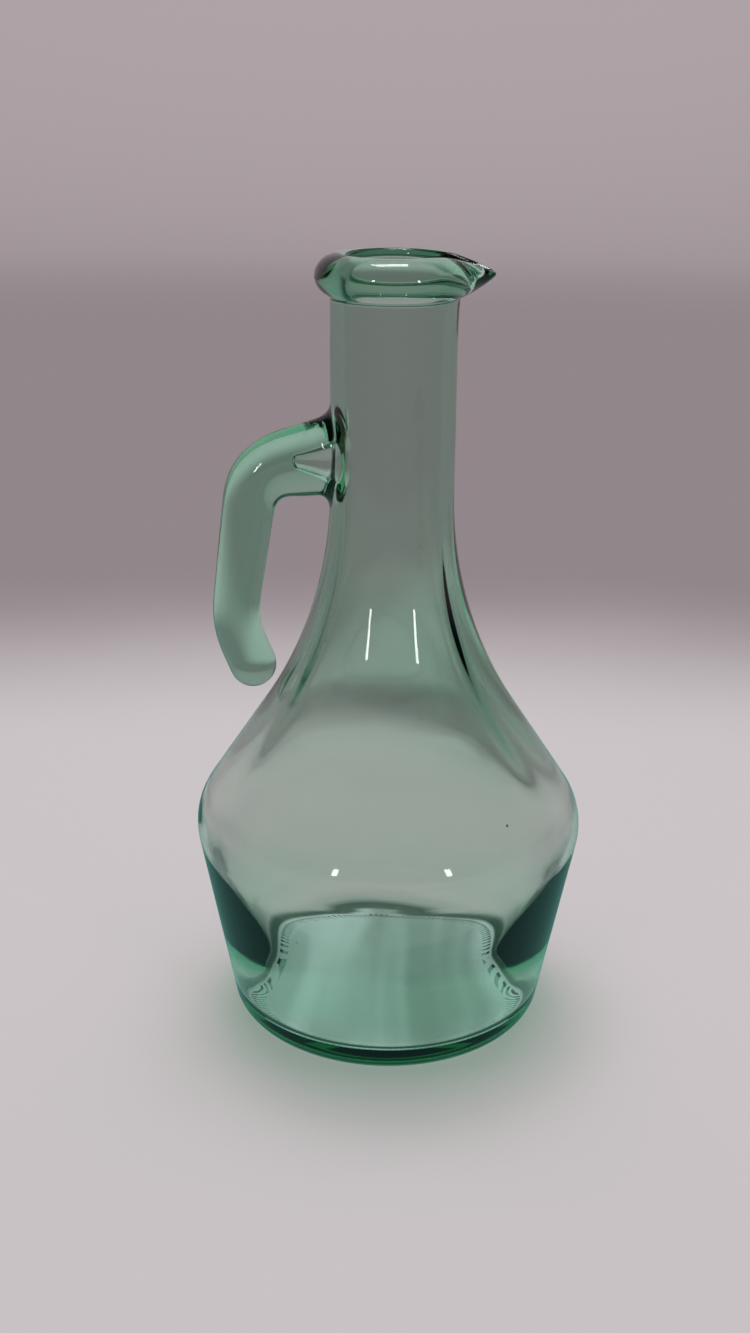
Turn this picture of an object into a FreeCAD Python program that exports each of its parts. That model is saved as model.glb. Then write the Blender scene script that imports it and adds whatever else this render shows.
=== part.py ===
"""Glass oil cruet: one solid of bottle glass, with a rolled pouring mouth and a hooked handle.

Millimetres, +Z up. The origin is the centre of the ring that the bottle stands on.
The pouring lip points along +X and the handle hangs on the -X side of the neck.
"""

import math
import os

import FreeCAD
import Part

# ---- heights ----
TOTAL_HEIGHT = 170.0  # crest of the rolled mouth
BELT_HEIGHT = 46.2  # centre of the rounded belt, where the body is widest

# ---- outside of the body ----
BELT_RADIUS = 42.8  # widest radius
STAND_RADIUS = 28.3  # outer edge of the flat ring that the bottle stands on
HEEL_ROUND = 7.0  # rounding between the standing ring and the wall
BELT_ROUND = 14.2  # rounding of the belt in profile
SHOULDER_ANGLE = 33.6  # shoulder, in degrees from upright
NECK_RADIUS = 13.1
NECK_SWEEP = 87.0  # hollow curve that carries the shoulder into the neck

# ---- underside ----
RECESS_RADIUS = 26.0  # the shallow hollow inside the standing ring
RECESS_DEPTH = 0.6

# ---- glass thickness, measured level ----
FLOOR_EDGE = 5.5  # floor at the foot of the inner wall
FLOOR_CROWN = 2.0  # the inner floor rises this much at its middle
FLOOR_CORNER = 3.0  # rounding between the inner floor and the inner wall
WALL_FOOT = 3.0  # wall at the floor
WALL_LOW = 4.2  # thickest part of the lower wall
WALL_LOW_HEIGHT = 17.0  # how high that is
WALL_BELT = 2.0  # thinnest wall, at the belt
BELT_BAND = 3.5  # the wall stays this thin up to here, above the middle of the belt
WALL_SHOULDER = 5.0  # thickest wall, on the shoulder
WALL_SHOULDER_RISE = 18.0  # how far above the belt that is
WALL_NECK = 3.1

# ---- rolled mouth ----
LIP_REACH = 3.2  # how far the bead stands out of the neck
LIP_HEIGHT = 8.8  # height of the bead in profile
LIP_CREST_INSET = 1.9  # the highest circle of the bead lies this far inside the outside of the neck

# ---- pouring lip ----
SPOUT_REACH = 20.4  # from the axis to the tip
SPOUT_DROP = 4.1  # the tip's centre lies this far below the crest
SPOUT_ROOT_HALF = 7.5  # half width inside the bead
SPOUT_TIP_HALF_WIDTH = 1.5
SPOUT_TIP_HALF = 0.8  # half height of the tip
SPOUT_FULLNESS = 1.5  # 1 is a straight-sided beak, and a larger value a fuller one
CHANNEL_DEPTH = 4.6  # below the crest, where the channel leaves the bore
CHANNEL_ROOT_HALF = 5.4  # half width at the bore
CHANNEL_TIP_HALF = 1.0
CHANNEL_TIP_NOTCH = 0.7  # how deep it cuts into the tip
CHANNEL_STEEPNESS = 1.2  # half height of its section over its half width

# ---- handle ----
HANDLE_BELOW_CREST = 40.6  # centre of the arm where it meets the neck wall, below the mouth's crest
HANDLE_DROOP = 12.0  # the arm falls away from the neck, degrees below level
TOE_GAP = 1.5  # between the end of the toe and the shoulder
FINGER_ROOM = 14.0  # least distance from the outside of the neck to the corner of the arm and the grip
HANDLE_CORNER_ROUND = 8.5
GRIP_LEAN = 7.9  # the grip leans outward as it goes down, degrees from upright
GRIP_LENGTH = 33.9  # from that corner to the bend at the toe
TOE_TURN = 23.0  # the toe points back in, degrees from upright
TOE_LENGTH = 10.3
TOE_BEND_ROUND = 12.0
ARM_HALF_HEIGHT = 8.9  # half height of the arm at the neck
ARM_TAPER = 0.55  # share of the thinning from arm to grip that comes before the corner
GRIP_HALF_WIDTH = 5.6
TOE_RADIUS = 5.1
HANDLE_HALF_DEPTH = 5.2  # half size across, along Y
HANDLE_FILLET = 2.4  # where the arm meets the neck

# ---- air pocket that the bore pushes into the root of the arm ----
POCKET_LENGTH = 7.8  # beyond the outside of the neck
POCKET_MOUTH_RADIUS = 5.6
POCKET_TIP_RADIUS = 1.5
POCKET_DROP = 2.0  # below the centre of the arm
POCKET_FLATNESS = 0.75  # its half size along Y over its half height

# ---- worked out from the sizes above ----
BORE_RADIUS = NECK_RADIUS - WALL_NECK
HANDLE_HEIGHT = TOTAL_HEIGHT - HANDLE_BELOW_CREST

# ---- how finely the curves are made ----
CURVE_STEPS = 48  # points taken along the inner wall, which follows a formula
OVAL_STEPS = 16  # points taken round a section of a limb
RUN_SHARES = (0.0, 0.5, 1.0)  # where the sections of a straight run lie, over its length
SPOUT_SHARES = (0.0, 0.35, 0.7, 1.0)  # the same for the pouring lip and its channel
SHALLOW_MIDDLE = 0.75  # rise of a shallow dome halfway out, over its rise at the middle
BALL_SHARES = (0.35, 0.65, 0.86, 0.96, 0.995)  # where the sections of a round end lie, over its radius
WALL_SAMPLES = 700  # heights at which the toe's gap to the wall is tried
HALVINGS = 40  # steps of the search for the handle's reach
SEAM_TOLERANCE = 1e-6


def point(radius, height):
    """A point of the profile, which lies in the XZ plane."""
    return FreeCAD.Vector(radius, 0.0, height)


def on_circle(centre, radius, degrees):
    """The point of a circle in the XZ plane at this angle, counted up from +X."""
    angle = math.radians(degrees)
    return centre + FreeCAD.Vector(radius * math.cos(angle), 0.0, radius * math.sin(angle))


def arc(centre, radius, start, end):
    """An arc edge in the XZ plane, from one angle to another, in degrees."""
    middle = 0.5 * (start + end)
    places = [on_circle(centre, radius, angle) for angle in (start, middle, end)]
    return Part.Arc(*places).toShape()


def line(start, end):
    """A straight edge."""
    return Part.LineSegment(start, end).toShape()


class BodyOutline:
    """The outside of the bottle in profile, from the standing ring to the neck."""

    def __init__(self):
        self.heel_centre = point(STAND_RADIUS, HEEL_ROUND)
        self.belt_centre = point(BELT_RADIUS - BELT_ROUND, BELT_HEIGHT)
        self.wall_lean = self.find_wall_lean()
        self.heel_end = on_circle(self.heel_centre, HEEL_ROUND, -self.wall_lean)
        self.belt_start = on_circle(self.belt_centre, BELT_ROUND, -self.wall_lean)
        self.belt_end = on_circle(self.belt_centre, BELT_ROUND, SHOULDER_ANGLE)
        self.sweep_centre_radius = NECK_RADIUS + NECK_SWEEP
        turn = math.radians(SHOULDER_ANGLE)
        sweep_radius = self.sweep_centre_radius - NECK_SWEEP * math.cos(turn)
        rise = (self.belt_end.x - sweep_radius) / math.tan(turn)
        self.sweep_start = point(sweep_radius, self.belt_end.z + rise)
        self.neck_start = self.sweep_start.z + NECK_SWEEP * math.sin(turn)
        self.sweep_centre = point(self.sweep_centre_radius, self.neck_start)

    def find_wall_lean(self):
        """The lean of the line that touches the heel and the belt rounding, in degrees."""
        across = self.belt_centre.x - self.heel_centre.x
        up = self.belt_centre.z - self.heel_centre.z
        between = math.hypot(across, up)
        return math.degrees(math.atan2(across, up) + math.asin((BELT_ROUND - HEEL_ROUND) / between))

    def radius_at(self, height):
        """The outside radius at a height between the heel and the mouth."""
        if height < self.heel_end.z:
            down = HEEL_ROUND - height
            return STAND_RADIUS + math.sqrt(HEEL_ROUND**2 - down**2)
        if height < self.belt_start.z:
            return self.heel_end.x + (height - self.heel_end.z) * math.tan(math.radians(self.wall_lean))
        if height < self.belt_end.z:
            up = height - self.belt_centre.z
            return self.belt_centre.x + math.sqrt(BELT_ROUND**2 - up**2)
        if height < self.sweep_start.z:
            return self.belt_end.x - (height - self.belt_end.z) * math.tan(math.radians(SHOULDER_ANGLE))
        if height < self.neck_start:
            down = self.neck_start - height
            return self.sweep_centre_radius - math.sqrt(NECK_SWEEP**2 - down**2)
        return NECK_RADIUS

    def edges(self):
        """The profile's edges from the standing ring up to the start of the neck."""
        return [
            arc(self.heel_centre, HEEL_ROUND, -90.0, -self.wall_lean),
            line(self.heel_end, self.belt_start),
            arc(self.belt_centre, BELT_ROUND, -self.wall_lean, SHOULDER_ANGLE),
            line(self.belt_end, self.sweep_start),
            arc(self.sweep_centre, NECK_SWEEP, 180.0 + SHOULDER_ANGLE, 180.0),
        ]


def ease(share):
    """A smooth step from 0 to 1."""
    share = min(1.0, max(0.0, share))
    return share * share * (3.0 - 2.0 * share)


def wall_at(outline, height):
    """Thickness of the wall, measured level. It changes smoothly between the stated heights."""
    stated = [
        (FLOOR_EDGE, WALL_FOOT),
        (WALL_LOW_HEIGHT, WALL_LOW),
        (outline.belt_start.z, WALL_BELT),
        (BELT_HEIGHT + BELT_BAND, WALL_BELT),
        (BELT_HEIGHT + WALL_SHOULDER_RISE, WALL_SHOULDER),
        (outline.neck_start, WALL_NECK),
    ]
    for (low, below), (high, above) in zip(stated, stated[1:]):
        if height <= high:
            return below + (above - below) * ease((height - low) / (high - low))
    return WALL_NECK


def lip_bead():
    """Centre and half sizes of the oval that the bead of the mouth follows in profile."""
    half_height = 0.5 * LIP_HEIGHT
    half_width = LIP_REACH + LIP_CREST_INSET
    return point(NECK_RADIUS - LIP_CREST_INSET, TOTAL_HEIGHT - half_height), half_width, half_height


def oval_height(centre, half_width, half_height, radius):
    """Half the height of the oval at a distance from the axis."""
    share = (radius - centre.x) / half_width
    return half_height * math.sqrt(1.0 - share**2)


def outer_solid(outline):
    """The bottle as a full body of revolution, with its bead and the hollow under its floor."""
    bead, half_width, half_height = lip_bead()
    underside = bead.z - oval_height(bead, half_width, half_height, NECK_RADIUS)
    oval = Part.Ellipse(bead, half_width, half_height)
    oval.Axis = FreeCAD.Vector(0.0, -1.0, 0.0)
    oval.XAxis = FreeCAD.Vector(1.0, 0.0, 0.0)
    start = -math.acos((NECK_RADIUS - bead.x) / half_width)
    bead_edge = Part.ArcOfEllipse(oval, start, 0.5 * math.pi).toShape()
    top = point(bead.x, TOTAL_HEIGHT)
    hollow = Part.Arc(
        point(0.0, RECESS_DEPTH),
        point(0.5 * RECESS_RADIUS, SHALLOW_MIDDLE * RECESS_DEPTH),
        point(RECESS_RADIUS, 0.0),
    ).toShape()
    edges = [hollow, line(point(RECESS_RADIUS, 0.0), point(STAND_RADIUS, 0.0))]
    edges += outline.edges()
    edges += [
        line(point(NECK_RADIUS, outline.neck_start), point(NECK_RADIUS, underside)),
        bead_edge,
        line(top, point(0.0, TOTAL_HEIGHT)),
        line(point(0.0, TOTAL_HEIGHT), point(0.0, RECESS_DEPTH)),
    ]
    return revolve(edges)


def revolve(edges):
    """Turns a closed profile round the axis into a solid."""
    face = Part.Face(Part.Wire(Part.__sortEdges__(edges)))
    solid = face.revolve(FreeCAD.Vector(), FreeCAD.Vector(0.0, 0.0, 1.0), 360.0)
    if solid.Volume < 0.0:
        solid.reverse()
    return solid


def cavity_solid(outline):
    """The room inside: a low crowned floor, the inner wall, the bore and the rounded mouth."""
    bead = lip_bead()[0]
    mouth_round = bead.x - BORE_RADIUS
    wall_foot = FLOOR_EDGE + FLOOR_CORNER
    span = outline.neck_start - wall_foot
    heights = [wall_foot + span * step / CURVE_STEPS for step in range(CURVE_STEPS + 1)]
    places = [point(outline.radius_at(z) - wall_at(outline, z), z) for z in heights]
    wall = Part.BSplineCurve()
    wall.interpolate(places)
    corner_centre = point(places[0].x - FLOOR_CORNER, wall_foot)
    floor_edge = point(corner_centre.x, FLOOR_EDGE)
    crown = FLOOR_EDGE + FLOOR_CROWN
    floor = Part.Arc(
        point(0.0, crown),
        point(0.5 * floor_edge.x, FLOOR_EDGE + SHALLOW_MIDDLE * FLOOR_CROWN),
        floor_edge,
    ).toShape()
    rim_centre = point(bead.x, TOTAL_HEIGHT - mouth_round)
    above = TOTAL_HEIGHT + mouth_round
    edges = [
        floor,
        arc(corner_centre, FLOOR_CORNER, -90.0, 0.0),
        wall.toShape(),
        line(point(BORE_RADIUS, outline.neck_start), point(BORE_RADIUS, rim_centre.z)),
        arc(rim_centre, mouth_round, 180.0, 90.0),
        line(point(bead.x, TOTAL_HEIGHT), point(bead.x, above)),
        line(point(bead.x, above), point(0.0, above)),
        line(point(0.0, above), point(0.0, crown)),
    ]
    return revolve(edges)


class Station:
    """One section of a limb: an oval square to the limb's direction, centred in the XZ plane."""

    def __init__(self, centre, heading, half_across, half_depth):
        self.centre = centre
        self.heading = heading  # degrees up from +X
        self.half_across = half_across  # in the XZ plane, square to the heading
        self.half_depth = half_depth  # along Y

    def curve(self):
        """The oval as a closed curve that starts on the side to the left of the heading."""
        across = on_circle(FreeCAD.Vector(), self.half_across, self.heading + 90.0)
        side = FreeCAD.Vector(0.0, self.half_depth, 0.0)
        turns = [2.0 * math.pi * step / OVAL_STEPS for step in range(OVAL_STEPS + 1)]
        places = [self.centre + across * math.cos(t) + side * math.sin(t) for t in turns[:-1]]
        oval = Part.BSplineCurve()
        oval.interpolate(Points=places, PeriodicFlag=True, Parameters=turns)
        return oval


def limb_solid(stations):
    """A solid with a smooth skin over its stations, closed flat at both ends."""
    ovals = [station.curve() for station in stations]
    lengths = [0.0]
    for before, after in zip(stations, stations[1:]):
        lengths.append(lengths[-1] + before.centre.distanceToPoint(after.centre))
    rails = []
    for places in zip(*[oval.getPoles() for oval in ovals]):
        rail = Part.BSplineCurve()
        rail.interpolate(Points=list(places), Parameters=lengths)
        rails.append(rail)
    skin = Part.BSplineSurface()
    skin.buildFromPolesMultsKnots(
        [list(row) for row in zip(*[rail.getPoles() for rail in rails])],
        rails[0].getMultiplicities(),
        ovals[0].getMultiplicities(),
        rails[0].getKnots(),
        ovals[0].getKnots(),
        False,
        True,
        rails[0].Degree,
        ovals[0].Degree,
    )
    side = skin.toShape()
    rims = [edge for edge in side.Edges if edge.isClosed()]
    faces = [side] + [Part.Face(Part.Wire(rim)) for rim in rims]
    solid = Part.Solid(Part.Shell(faces))
    solid.fix(SEAM_TOLERANCE, SEAM_TOLERANCE, SEAM_TOLERANCE)
    return solid


def ball_end(last):
    """Further stations that close a limb with a round end as large as its last station."""
    stations = []
    for share in BALL_SHARES:
        shrink = math.sqrt(1.0 - share**2)
        centre = on_circle(last.centre, share * last.half_across, last.heading)
        half_across = shrink * last.half_across
        half_depth = shrink * last.half_depth
        stations.append(Station(centre, last.heading, half_across, half_depth))
    return stations


def toe_clearance(outline, reach):
    """Gap between the toe and the outside of the bottle, if the handle reaches this far."""
    droop = (reach - BORE_RADIUS) * math.tan(math.radians(HANDLE_DROOP))
    grip = on_circle(FreeCAD.Vector(), GRIP_LENGTH, GRIP_LEAN - 90.0)
    toe = on_circle(FreeCAD.Vector(), TOE_LENGTH, -90.0 - TOE_TURN)
    centre = point(reach, HANDLE_HEIGHT - droop) + grip + toe
    levels = [HANDLE_HEIGHT * step / WALL_SAMPLES for step in range(WALL_SAMPLES + 1)]
    return min(centre.distanceToPoint(point(outline.radius_at(z), z)) for z in levels) - TOE_RADIUS


def handle_reach(outline):
    """From the axis to the corner of the arm and the grip, so that the toe keeps at least its gap."""
    near, far = NECK_RADIUS + FINGER_ROOM, 2.0 * BELT_RADIUS
    for _ in range(HALVINGS):
        middle = 0.5 * (near + far)
        if toe_clearance(outline, middle) < TOE_GAP:
            near = middle
        else:
            far = middle
    return far


def handle_stations(outline):
    """The handle's arm, grip and toe: straight runs, with a round corner between each two."""
    headings = [180.0 + HANDLE_DROOP, 270.0 - GRIP_LEAN, 270.0 + TOE_TURN]
    rounds = [HANDLE_CORNER_ROUND, TOE_BEND_ROUND]
    cuts = [
        radius * math.tan(math.radians(0.5 * (after - before)))
        for radius, before, after in zip(rounds, headings, headings[1:])
    ]
    start = point(-BORE_RADIUS, HANDLE_HEIGHT)
    arm_length = (handle_reach(outline) - BORE_RADIUS) / math.cos(math.radians(HANDLE_DROOP))
    lengths = [arm_length - cuts[0], GRIP_LENGTH - cuts[0] - cuts[1], TOE_LENGTH - cuts[1]]
    shoulder_half = ARM_HALF_HEIGHT + (GRIP_HALF_WIDTH - ARM_HALF_HEIGHT) * ARM_TAPER
    halves = [(ARM_HALF_HEIGHT, shoulder_half), (GRIP_HALF_WIDTH, TOE_RADIUS), (TOE_RADIUS, TOE_RADIUS)]
    place = start
    stations = []
    for run, heading in enumerate(headings):
        first, last = halves[run]
        along = on_circle(FreeCAD.Vector(), lengths[run], heading)
        for share in RUN_SHARES:
            half = first + (last - first) * share
            stations.append(Station(place + along * share, heading, half, HANDLE_HALF_DEPTH))
        place = place + along
        if run < len(rounds):
            centre = on_circle(place, rounds[run], heading + 90.0)
            halfway = 0.5 * (heading + headings[run + 1])
            half = 0.5 * (last + halves[run + 1][0])
            middle = on_circle(centre, rounds[run], halfway - 90.0)
            stations.append(Station(middle, halfway, half, HANDLE_HALF_DEPTH))
            place = on_circle(centre, rounds[run], headings[run + 1] - 90.0)
    return stations + ball_end(stations[-1])


def pocket_stations():
    """The air that the bore pushes into the root of the arm: a blunt cone with a round end."""
    height = HANDLE_HEIGHT - POCKET_DROP
    mouth = point(-(NECK_RADIUS - 2.0 * WALL_NECK), height)
    tip = point(-(NECK_RADIUS + POCKET_LENGTH - POCKET_TIP_RADIUS), height)
    stations = [
        Station(mouth + (tip - mouth) * share, 180.0, half, half * POCKET_FLATNESS)
        for share in RUN_SHARES
        for half in [POCKET_MOUTH_RADIUS + (POCKET_TIP_RADIUS - POCKET_MOUTH_RADIUS) * share]
    ]
    return stations + ball_end(stations[-1])


def spout_stations():
    """The pouring lip: an oval limb that narrows from the inside of the bead to its round tip."""
    bead, _, half_height = lip_bead()
    root = point(bead.x - SPOUT_TIP_HALF, bead.z)
    tip = point(SPOUT_REACH - SPOUT_TIP_HALF, TOTAL_HEIGHT - SPOUT_DROP)
    stations = []
    for share in SPOUT_SHARES:
        narrow = share**SPOUT_FULLNESS
        half = half_height + (SPOUT_TIP_HALF - half_height) * narrow
        width = SPOUT_ROOT_HALF + (SPOUT_TIP_HALF_WIDTH - SPOUT_ROOT_HALF) * narrow
        stations.append(Station(root + (tip - root) * share, 0.0, half, width))
    return stations + ball_end(stations[-1])


def channel_stations():
    """The open channel of the pouring lip, from inside the bore out past the tip."""
    bead = lip_bead()[0]
    tip_floor = TOTAL_HEIGHT - SPOUT_DROP + SPOUT_TIP_HALF - CHANNEL_TIP_NOTCH
    root_floor = TOTAL_HEIGHT - CHANNEL_DEPTH
    root = 0.5 * bead.x
    end = SPOUT_REACH + 2.0 * SPOUT_TIP_HALF
    stations = []
    for share in SPOUT_SHARES:
        floor = root_floor + (tip_floor - root_floor) * share
        half = CHANNEL_ROOT_HALF + (CHANNEL_TIP_HALF - CHANNEL_ROOT_HALF) * share
        centre = point(root + (end - root) * share, floor + CHANNEL_STEEPNESS * half)
        stations.append(Station(centre, 0.0, CHANNEL_STEEPNESS * half, half))
    return stations


def root_edges(shape):
    """The edges where the arm of the handle grows out of the neck."""
    edges = []
    for edge in shape.Edges:
        box = edge.BoundBox
        on_arm = abs(box.Center.z - HANDLE_HEIGHT) < ARM_HALF_HEIGHT
        if on_arm and box.ZLength < 2.0 * ARM_HALF_HEIGHT + WALL_NECK and box.XMax < 0.0:
            edges.append(edge)
    return edges


def build():
    """The whole cruet as one solid."""
    outline = BodyOutline()
    limbs = [limb_solid(handle_stations(outline)), limb_solid(spout_stations())]
    shape = outer_solid(outline).fuse(limbs)
    shape = shape.makeFillet(HANDLE_FILLET, root_edges(shape))
    air = [cavity_solid(outline), limb_solid(pocket_stations()), limb_solid(channel_stations())]
    return shape.cut(air)


cruet = build()
os.makedirs("parts", exist_ok=True)
cruet.exportStep("parts/cruet.step")
print("cruet: valid", cruet.isValid(), "solids", len(cruet.Solids), "volume", round(cruet.Volume), "mm3")
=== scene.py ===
"""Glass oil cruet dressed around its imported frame, on a pale table in soft studio light.

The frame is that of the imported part, in metres, +Z up. The sizes of the bottle are fields in
millimetres, as a glass maker gives them, and become metres when the mesh is made. The pouring lip
points along +X and the handle hangs on the -X side of the neck.
"""

import logging
import math
from dataclasses import dataclass, field
from enum import Enum
from typing import Sequence

import bmesh
import bpy
from mathutils import Matrix, Vector

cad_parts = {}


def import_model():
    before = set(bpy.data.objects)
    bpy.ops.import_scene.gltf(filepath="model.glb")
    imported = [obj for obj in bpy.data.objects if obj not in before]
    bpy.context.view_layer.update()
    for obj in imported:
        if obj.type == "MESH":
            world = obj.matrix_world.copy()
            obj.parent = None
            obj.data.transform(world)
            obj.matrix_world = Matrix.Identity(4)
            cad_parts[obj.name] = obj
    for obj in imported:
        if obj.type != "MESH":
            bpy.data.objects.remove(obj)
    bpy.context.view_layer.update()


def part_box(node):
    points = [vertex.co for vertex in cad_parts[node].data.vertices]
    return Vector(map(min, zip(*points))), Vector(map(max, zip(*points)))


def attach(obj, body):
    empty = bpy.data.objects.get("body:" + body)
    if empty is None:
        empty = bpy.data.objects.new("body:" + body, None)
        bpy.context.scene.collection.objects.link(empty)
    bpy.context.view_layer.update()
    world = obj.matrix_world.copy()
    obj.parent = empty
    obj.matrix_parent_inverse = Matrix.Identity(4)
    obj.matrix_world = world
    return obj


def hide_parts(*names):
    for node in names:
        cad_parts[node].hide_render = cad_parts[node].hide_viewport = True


LOG = logging.getLogger("cruet")

MILLIMETRE = 0.001
FULL_TURN = 2.0 * math.pi
NODE = "cruet"
BODY = "root"
BOX_INSET = 0.01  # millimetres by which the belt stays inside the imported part's box

Colour = tuple[float, float, float]
Place = tuple[float, float, float]
Span = tuple[float, float]
Number = float | int


# ---- small sums -------------------------------------------------------------------------------


def ease(share: float) -> float:
    """A smooth step from 0 to 1."""
    share = min(1.0, max(0.0, share))
    return share * share * (3.0 - 2.0 * share)


def mix(first: float, second: float, share: float) -> float:
    """The value this share of the way from the first to the second."""
    return first + (second - first) * share


def spread(first: float, last: float, steps: int) -> list[float]:
    """Evenly spaced values from first to last, with both ends."""
    return [mix(first, last, step / steps) for step in range(steps + 1)]


def swell(height: float, rise_at: float, rise: float, fall_at: float, fall: float) -> float:
    """A smooth hump over a range of heights.

    Args:
        height: where it is read.
        rise_at: the height where it starts to rise from 0.
        rise: how far above that it reaches 1.
        fall_at: the height where it starts to fall.
        fall: how far above that it is back at 0.

    Returns:
        The hump there, from 0 to 1.
    """
    return ease((height - rise_at) / rise) * (1.0 - ease((height - fall_at) / fall))


def curve_weights(t: float) -> tuple[float, float, float, float]:
    """The weights of a smooth run's start, the slope there, its end and the slope there.

    Args:
        t: how far along the run, from 0 to 1.

    Returns:
        The four weights, in that order.
    """
    return 2 * t**3 - 3 * t**2 + 1, t**3 - 2 * t**2 + t, 3 * t**2 - 2 * t**3, t**3 - t**2


def glide(knots: Sequence[tuple[float, float]], key: float) -> float:
    """A smooth curve through knots.

    Args:
        knots: pairs of key and value, with keys that rise.
        key: where the curve is read; before the first knot and after the last it stays level.

    Returns:
        The value there.
    """
    if key <= knots[0][0]:
        return knots[0][1]
    if key >= knots[-1][0]:
        return knots[-1][1]
    slopes = [
        (after[1] - before[1]) / (after[0] - before[0]) for before, after in zip(knots, knots[2:])
    ]
    slopes = [0.0, *slopes, 0.0]
    for number in range(len(knots) - 1):
        low, high = knots[number], knots[number + 1]
        if key <= high[0]:
            width = high[0] - low[0]
            start, leave, end, arrive = curve_weights((key - low[0]) / width)
            return (
                start * low[1]
                + leave * width * slopes[number]
                + end * high[1]
                + arrive * width * slopes[number + 1]
            )
    return knots[-1][1]


def smoothed(values: Sequence[float], passes: int) -> list[float]:
    """Values with their corners rounded off, ends kept.

    Args:
        values: the values in order.
        passes: how often each takes the mean with its neighbours.

    Returns:
        The rounded values, as many as before.
    """
    result = list(values)
    for _ in range(passes):
        inner = [
            0.25 * before + 0.5 * here + 0.25 * after
            for before, here, after in zip(result, result[1:], result[2:])
        ]
        result = [result[0], *inner, result[-1]]
    return result


def heading_point(degrees: float, length: float) -> Vector:
    """A vector in the XZ plane at this angle, counted up from +X."""
    angle = math.radians(degrees)
    return Vector((length * math.cos(angle), 0.0, length * math.sin(angle)))


def round_point(radius: float, angle: float, height: float) -> Vector:
    """The point at this radius, angle in radians and height, round the upright axis."""
    return Vector((radius * math.cos(angle), radius * math.sin(angle), height))


def turns_round(count: int) -> list[float]:
    """The angles of this many even steps round a circle, in radians."""
    return [2.0 * math.pi * number / count for number in range(count)]


# ---- mesh drafting ----------------------------------------------------------------------------


@dataclass
class MeshDraft:
    """Points and faces that are laid one after another, in millimetres."""

    points: list[Vector] = field(default_factory=list)
    faces: list[tuple[int, ...]] = field(default_factory=list)
    air_from: int | None = None  # from this face on, the faces close round air inside the piece
    ball_sides: int = 10
    ball_levels: int = 7

    def add(self, place: Vector) -> int:
        """Adds a point and gives its number."""
        self.points.append(place)
        return len(self.points) - 1

    def ring(self, places: Sequence[Vector]) -> list[int]:
        """Adds a ring of points and gives their numbers."""
        return [self.add(place) for place in places]

    def band(self, first: Sequence[int], second: Sequence[int]) -> None:
        """Lays a closed band of faces between two rings.

        Args:
            first: the points of one ring.
            second: those of the other, as many.
        """
        count = len(first)
        for number in range(count):
            after = (number + 1) % count
            self.faces.append((first[number], first[after], second[after], second[number]))

    def tube(self, rings: Sequence[Sequence[int]]) -> None:
        """Lays a band between each ring and the next."""
        for before, after in zip(rings, rings[1:]):
            self.band(before, after)

    def fan(self, rim: Sequence[int], tip: int) -> None:
        """Closes a ring with triangles that meet in a tip."""
        for number, point in enumerate(rim):
            self.faces.append((point, rim[(number + 1) % len(rim)], tip))

    def ball(self, centre: Vector, radius: float) -> None:
        """Lays a small closed ball.

        Args:
            centre: its middle.
            radius: its radius.
        """
        turns = turns_round(self.ball_sides)
        rings = []
        for angle in spread(-90.0, 90.0, self.ball_levels)[1:-1]:
            level = radius * math.sin(math.radians(angle))
            wide = radius * math.cos(math.radians(angle))
            rings.append(self.ring([centre + round_point(wide, turn, level) for turn in turns]))
        self.tube(rings)
        self.fan(rings[0], self.add(centre - Vector((0.0, 0.0, radius))))
        self.fan(rings[-1], self.add(centre + Vector((0.0, 0.0, radius))))

    def make(self, name: str) -> bpy.types.Object:
        """Makes the draft into a smooth-shaded object.

        Args:
            name: what the object is called.

        Returns:
            The object, linked to the scene.
        """
        mesh = bpy.data.meshes.new(name)
        mesh.from_pydata([place * MILLIMETRE for place in self.points], [], self.faces)
        work = bmesh.new()
        work.from_mesh(mesh)
        bmesh.ops.recalc_face_normals(work, faces=work.faces[:])
        work.faces.ensure_lookup_table()
        if self.air_from is not None:
            bmesh.ops.reverse_faces(work, faces=work.faces[self.air_from :])
        for face in work.faces:
            face.smooth = True
        work.to_mesh(mesh)
        work.free()
        piece = bpy.data.objects.new(name, mesh)
        bpy.context.scene.collection.objects.link(piece)
        return piece


# ---- shader sums ------------------------------------------------------------------------------


class Wire:
    """A shader socket that takes part in Python sums, each of which adds a Math node."""

    def __init__(self, graph: "Graph", socket: bpy.types.NodeSocket) -> None:
        """Keeps the socket and the graph it belongs to."""
        self.graph = graph
        self.socket = socket

    def _sum(self, operation: str, first: "Wire | Number", second: "Wire | Number") -> "Wire":
        """Adds one Math node and gives its result."""
        return self.graph.node("ShaderNodeMath", {"operation": operation}, {0: first, 1: second})

    def __add__(self, other: "Wire | Number") -> "Wire":
        """self + other"""
        return self._sum("ADD", self, other)

    def __sub__(self, other: "Wire | Number") -> "Wire":
        """self - other"""
        return self._sum("SUBTRACT", self, other)

    def __rsub__(self, other: Number) -> "Wire":
        """other - self"""
        return self._sum("SUBTRACT", other, self)

    def __mul__(self, other: "Wire | Number") -> "Wire":
        """self * other"""
        return self._sum("MULTIPLY", self, other)

    def __rmul__(self, other: Number) -> "Wire":
        """other * self"""
        return self._sum("MULTIPLY", other, self)

    def __pow__(self, other: "Wire | Number") -> "Wire":
        """self ** other"""
        return self._sum("POWER", self, other)

    def __or__(self, other: "Wire | Number") -> "Wire":
        """The larger of the two, so that masks join."""
        return self._sum("MAXIMUM", self, other)


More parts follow.
